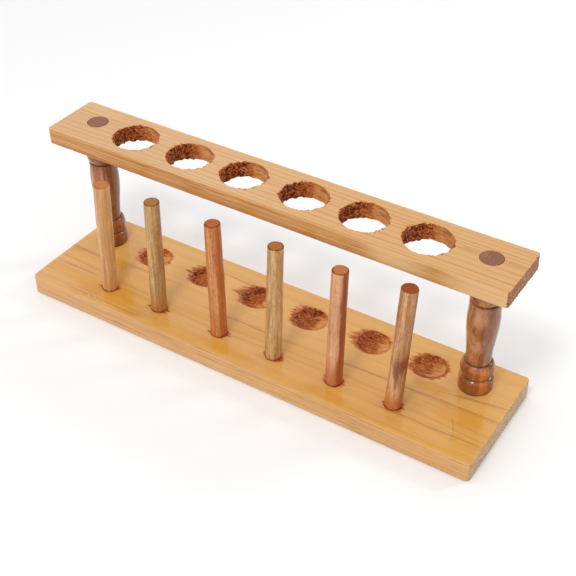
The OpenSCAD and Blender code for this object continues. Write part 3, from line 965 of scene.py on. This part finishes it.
def honey_base():
    wood = Wood("honey_base", HONEY["shift"])
    colour, rings, fibres, _ = board_wood(wood, HONEY)
    top = wood.faces_z.over(0.6, 0.9)
    # Painted light: the top face is painted paler towards the back, under the top board, to lift the top
    # board's shadow.
    top_face = wood.blend(wood.y.over(-14, 8) * 0.45, colour, (230, 178, 106))
    top_face = red_streaks(wood, reflection_pools(wood, top_face))
    colour = narrow_face(wood, wood.blend(top, colour, top_face), HONEY)
    colour, soaked, pores = end_grain(wood, colour, HONEY)
    bowl = wood.mark("bowl")
    sweep = wood.cloud((6, 1.4, 1.4), rough=0.6).over(0.4, 0.7)
    # The plane's chatter marks are dented and painted pale for the glints they catch: real marks with a
    # painted highlight.
    chatter_and_glint = plane_chatter(wood) * top
    dusty = wood.cloud((30, 14, 14), shift=UNMOVED).over(0.46, 0.6) * top
    # Dust nibs in the varnish, raised and painted pale for their glints: dust with a painted highlight.
    nibs_and_glints = wood.cloud((0.9, 0.7, 0.7), rough=0.6).over(0.64, 0.72) * dusty
    scratch = arc_scratch(wood) * top
    colour = wood.paint(
        colour, (bowl * 0.9, wood.blend(sweep, (214, 150, 56), (186, 112, 38))),
        (chatter_and_glint * 0.75, (232, 192, 122)), (nibs_and_glints * 0.5, (240, 206, 150)), (scratch * 0.45, (158, 98, 46)))
    colour, mask, crumbs = torn_wood(wood, colour, HONEY)
    colour = wood.blend(wood.mark("glue") * 0.4, colour, (150, 70, 30))
    roughness = 0.4 + fibres * 0.14 + mask * 0.05
    height = fibres * 0.3 + rings * 0.2 + mask * crumbs * 2.0 + soaked * pores * 0.8
    height = height - chatter_and_glint * 2.0 - scratch * 0.6 + nibs_and_glints * 0.8
    coat = (1 - mask * 0.7) * (1 - soaked * 0.6) * (1 - bowl * 0.5)
    return wood.varnished(colour, roughness, height, 0.15, coat, 0.1)


# ---- the finishes of posts and dowels

# The way, in plan, to the darker side of the room, and to the side of the round pieces that is painted with
# shade
TO_THE_RIGHT = (0.84, 0.54)


def towards_shaded_side(wood, wander):
    """How far a spot of a round piece lies towards the darker side of the room, whose edge wanders: colour
    darkened along it is painted shade.
    """
    return wood.x * TO_THE_RIGHT[0] + wood.y * TO_THE_RIGHT[1] + wander


def walnut_post(side, centre, seed):
    foot = (centre[0], centre[1], BASE_HI[2])
    wood = Wood("walnut_post_" + side, (seed * 0.37, seed * 0.11, 0.0), foot)
    z = wood.z
    sway = wood.cloud((12, 12, 16)) - 0.5
    bent = wood.moved(sway * 9.0, sway * -7.0)
    streaks = wood.cloud((1.1, 1.1, 26), 3.0, 0.6, bent)
    broad = wood.cloud((4.5, 4.5, 26), at=bent)
    mottle = wood.cloud((7, 7, 12), rough=0.55)
    pores = wood.cloud((0.28, 0.28, 3.2), rough=0.6)
    right = towards_shaded_side(wood, (broad - 0.5) * 9)
    # Painted shade: the side towards the darker part of the room is painted darker, here and on the foot and
    # bead below. The pale greyish mottle is partly the wood's own mottle, partly a painted milky reflection
    # of the varnish.
    colour = wood.paint(
        (190, 126, 74), (broad.over(0.36, 0.64), (160, 98, 52)),
        (mottle.over(0.5, 0.64) * 0.5, (196, 146, 112)), (mottle.under(0.34, 0.46) * 0.45, (138, 74, 36)),
        (right.over(-1.5, 2.5) * 0.65, (112, 68, 40)))
    low_part = wood.paint((196, 112, 48), (broad.over(0.42, 0.64), (150, 82, 34)),
                          (right.over(-0.5, 3.5) * 0.5, (96, 52, 26)))
    # Painted shade: dark in the grooves on each side of the bead and along the foot where it meets the base,
    # fainter in the crease under the collar.
    crease = (z - (TOP_LO[2] - BASE_HI[2] - COLLAR_H)).size().under(0.1, 0.4)
    groove_shade = (z - FOOT_H).size().under(0.1, 0.55).most((z - FOOT_H - BEAD_H).size().under(0.1, 0.5))
    groove_shade = groove_shade.most(z.under(0.2, 1.2)).most(crease * 0.35)
    specks = wood.cloud((0.4, 0.4, 0.4), rough=0.6)
    rays = wood.cloud((0.6, 3.5, 1), rough=0.6)
    tenon = wood.paint(
        (122, 72, 54), (specks.over(0.36, 0.66), (150, 100, 80)),
        (rays.over(0.5, 0.7) * 0.45, (168, 122, 102)),
        (wood.x.far(wood.y).over(4.3, 4.95) * 0.3, (96, 54, 36)))
    flush_at = TOP_HI[2] - BASE_HI[2]
    end = wood.faces_z.over(0.8, 0.95) * z.over(flush_at - 0.6, flush_at - 0.2)
    colour = wood.paint(
        colour, (z.under(12, 19), low_part), (streaks.over(0.48, 0.66) * 0.55, (104, 52, 22)),
        (pores.over(0.58, 0.7) * 0.4, (76, 38, 18)), (groove_shade * 0.65, (62, 28, 12)), (end, tenon))
    height = streaks * 0.3 + pores * 0.3 + end * specks * 0.6
    return wood.varnished(colour, 0.36 + streaks * 0.14, height, 0.08, 0.9 - end * 0.65, 0.06, 1.55)


# The dowels from left to right: finish name, pale and deep wood, dark streaks, how flecked, end, how dark
# its rim
DOWELS = [
    ("peg_beige", (218, 168, 116), (198, 146, 90), (164, 104, 58), 0.25, (192, 122, 74), 0.35),
    ("peg_straw", (208, 164, 106), (176, 130, 76), (112, 74, 36), 0.5, (172, 114, 64), 0.9),
    ("peg_rust", (213, 146, 90), (186, 112, 56), (140, 68, 28), 0.6, (176, 98, 50), 0.75),
    ("peg_olive", (210, 168, 114), (180, 134, 80), (122, 82, 42), 0.6, (172, 104, 46), 0.9),
    ("peg_chestnut", (218, 166, 122), (204, 144, 98), (156, 86, 44), 0.45, (188, 114, 62), 0.9),
    ("peg_umber", (212, 162, 112), (180, 124, 78), (118, 68, 34), 0.6, (146, 70, 22), 0.3)]


def dowel_markings(wood, number):
    """What sets some of the dowels apart, as coats: bands along them, soaked feet and patches. The bands
    darker towards the darker side of the room are painted shade, on the third and fifth dowels also their
    own darker wood.
    """
    wander = wood.cloud((3, 3, 14), shift=UNMOVED) - 0.5
    # Painted shade: the bands that darken as this grows lie on the side towards the darker part of the room;
    # on the third and fifth dowels they are also the wood's own darker band.
    right = towards_shaded_side(wood, wander * 2.4)
    if number == 1:
        return [(right.over(0.8, 2.4) * 0.45, (136, 92, 46)),
                ((wood.z + wander * 12).under(4, 15) * 0.45, (192, 116, 54))]
    if number == 2:
        return [(right.over(0.2, 1.4) * 0.7, (172, 92, 38)),
                (right.under(-3.0, -1.6) * 0.45, (182, 98, 50))]
    if number == 4:
        return [(right.over(0.5, 1.3) * 0.9, (142, 64, 24)),
                ((wood.z + wander * 16).under(6, 20) * 0.55, (176, 82, 34))]
    if number == 5:
        patch = (wood.z + wander * 26).over(14, 22) * (wood.z + wander * 22).under(26, 36)
        patch = patch * (right + wander * 4).over(-3.0, -1.2)
        return [(right.over(0.8, 2.2) * 0.5, (142, 84, 42)), (patch * 0.85, (120, 54, 18)),
                ((wood.z + wander * 12).under(3, 13) * 0.75, (196, 100, 44))]
    return []


def dowel_finish(number, length):
    slot, pale, deep, dark, flecked, cut, rim_dark = DOWELS[number]
    wood = Wood(slot, (5.3 * number, 2.9 * number, 1.7 * number))
    broad = wood.cloud((2.0, 2.0, 40), 3.0, 0.55)
    streaks = wood.cloud((0.65, 0.65, 18), 3.0, 0.65)
    flecks = wood.cloud((0.4, 0.4, 2.2), rough=0.6)
    blotch = wood.cloud((3.5, 3.5, 9), rough=0.6)
    specks = wood.cloud((0.5, 0.5, 0.5), rough=0.6)
    away = wood.x.far(wood.y)
    top = wood.faces_z.over(0.35, 0.8) * wood.z.over(length - 1.1, length - 0.5)
    arcs = ((away + (specks - 0.5) * 0.8) / 0.85).fraction().over(0.3, 0.9)
    end = wood.blend(specks.over(0.35, 0.7) * 0.35 + arcs * 0.2, cut, dark)
    edge = wood.z.over(length - 0.5, length - 0.25) * (away + (specks - 0.5) * 0.6).over(2.7, 3.1)
    rim = edge * rim_dark * (0.5 + broad.over(0.35, 0.6) * 0.5)
    foot = (wood.z + (specks - 0.5) * 1.2).under(0.2, 0.8)
    colour = wood.paint(
        pale, (broad.over(0.4, 0.6), deep), (blotch.over(0.5, 0.62) * 0.4, deep),
        (blotch.under(0.36, 0.46) * 0.4, pale), (streaks.over(0.44, 0.74) * 0.6, dark),
        *dowel_markings(wood, number), (flecks.over(0.5, 0.72) * flecked, dark), (top, end),
        (rim, (96, 50, 22)), (foot * 0.6, (118, 52, 22)))
    height = streaks * 0.5 + flecks * 0.4
    return wood.varnished(colour, 0.4 + streaks * 0.16, height, 0.09, 0.65 * (1 - top * 0.8), 0.16)


# ---- the stage, the lights and the camera

# Half the floor's side in millimetres, and each lamp's place in metres and power in watts
FLOOR = 12000
LAMPS = {"front_lamp": ((0.06, -0.52, 0.92), 2.6), "side_lamp": ((0.62, 0.70, 0.62), 1.8)}
LAMP_SIZE = 0.2
RACK_MIDDLE = (0.0, 0.0, 0.03)

# The camera's place in metres, the ways it looks and has on its right, and its lens in millimetres
CAMERA_AT = (0.22127, -0.32309, 0.33973)
CAMERA_LOOKS = (-0.42718, 0.65854, -0.61955)
CAMERA_RIGHT = (0.84179, 0.53977, -0.00668)
SENSOR, LENS = 36.0, 69.02


def studio():
    """A plain pale floor in a bright soft room, a little darker to the right, with two small soft lamps."""
    finish = Finish("pale_floor")
    matt = {"Base Color": (0.92, 0.92, 0.92, 1.0), "Roughness": 0.9, "Specular IOR Level": 0.1}
    shader = finish.node("ShaderNodeBsdfPrincipled", {}, matt)
    finish.node("ShaderNodeOutputMaterial", {}, {0: shader})
    shell = Shell()
    shell.cap([(-FLOOR, -FLOOR, 0), (FLOOR, -FLOOR, 0), (FLOOR, FLOOR, 0), (-FLOOR, FLOOR, 0)])
    mesh = shell.weld()
    floor = make_piece("pale_floor", mesh, places(mesh), {}, finish.material)
    floor.location.z = -0.0002
    room = Finish("bright_room", bpy.data.worlds.new("bright_room"))
    way = room.node("ShaderNodeTexCoord", output=GENERATED)
    darker_way = {0: way, 1: (*TO_THE_RIGHT, 0.0)}
    right = room.node("ShaderNodeVectorMath", {"operation": "DOT_PRODUCT"}, darker_way, output=1)
    glow = 0.96 - right.over(0.15, 0.95) * 0.5
    sky = room.node("ShaderNodeBackground", {}, {"Color": (1.0, 1.0, 1.0, 1.0), "Strength": glow})
    room.node("ShaderNodeOutputWorld", {}, {0: sky})
    bpy.context.scene.world = room.material
    for name, (spot, power) in LAMPS.items():
        lamp = bpy.data.lights.new(name, "AREA")
        lamp.shape = "SQUARE"
        lamp.size = LAMP_SIZE
        lamp.energy = power
        holder = bpy.data.objects.new(name, lamp)
        holder.location = spot
        aim = Vector(RACK_MIDDLE) - Vector(spot)
        holder.rotation_euler = aim.to_track_quat("-Z", "Y").to_euler()
        bpy.context.scene.collection.objects.link(holder)


def camera():
    """Looks down on the rack from its front right."""
    forward = Vector(CAMERA_LOOKS).normalized()
    right = Vector(CAMERA_RIGHT).normalized()
    up = right.cross(forward).normalized()
    lens = bpy.data.cameras.new("camera")
    lens.sensor_width = SENSOR
    lens.lens = LENS
    lens.clip_start = 0.01
    holder = bpy.data.objects.new("camera", lens)
    turn = Matrix((right, up, -forward)).transposed().to_4x4()
    holder.matrix_world = Matrix.Translation(Vector(CAMERA_AT)) @ turn
    bpy.context.scene.collection.objects.link(holder)
    bpy.context.scene.camera = holder


camera()
studio()
top_board()
base_board()
turned_post("left", 11)
turned_post("right", 29)
for peg_number in range(6):
    dowel(peg_number)

bpy.context.scene.view_settings.view_transform = "Standard"
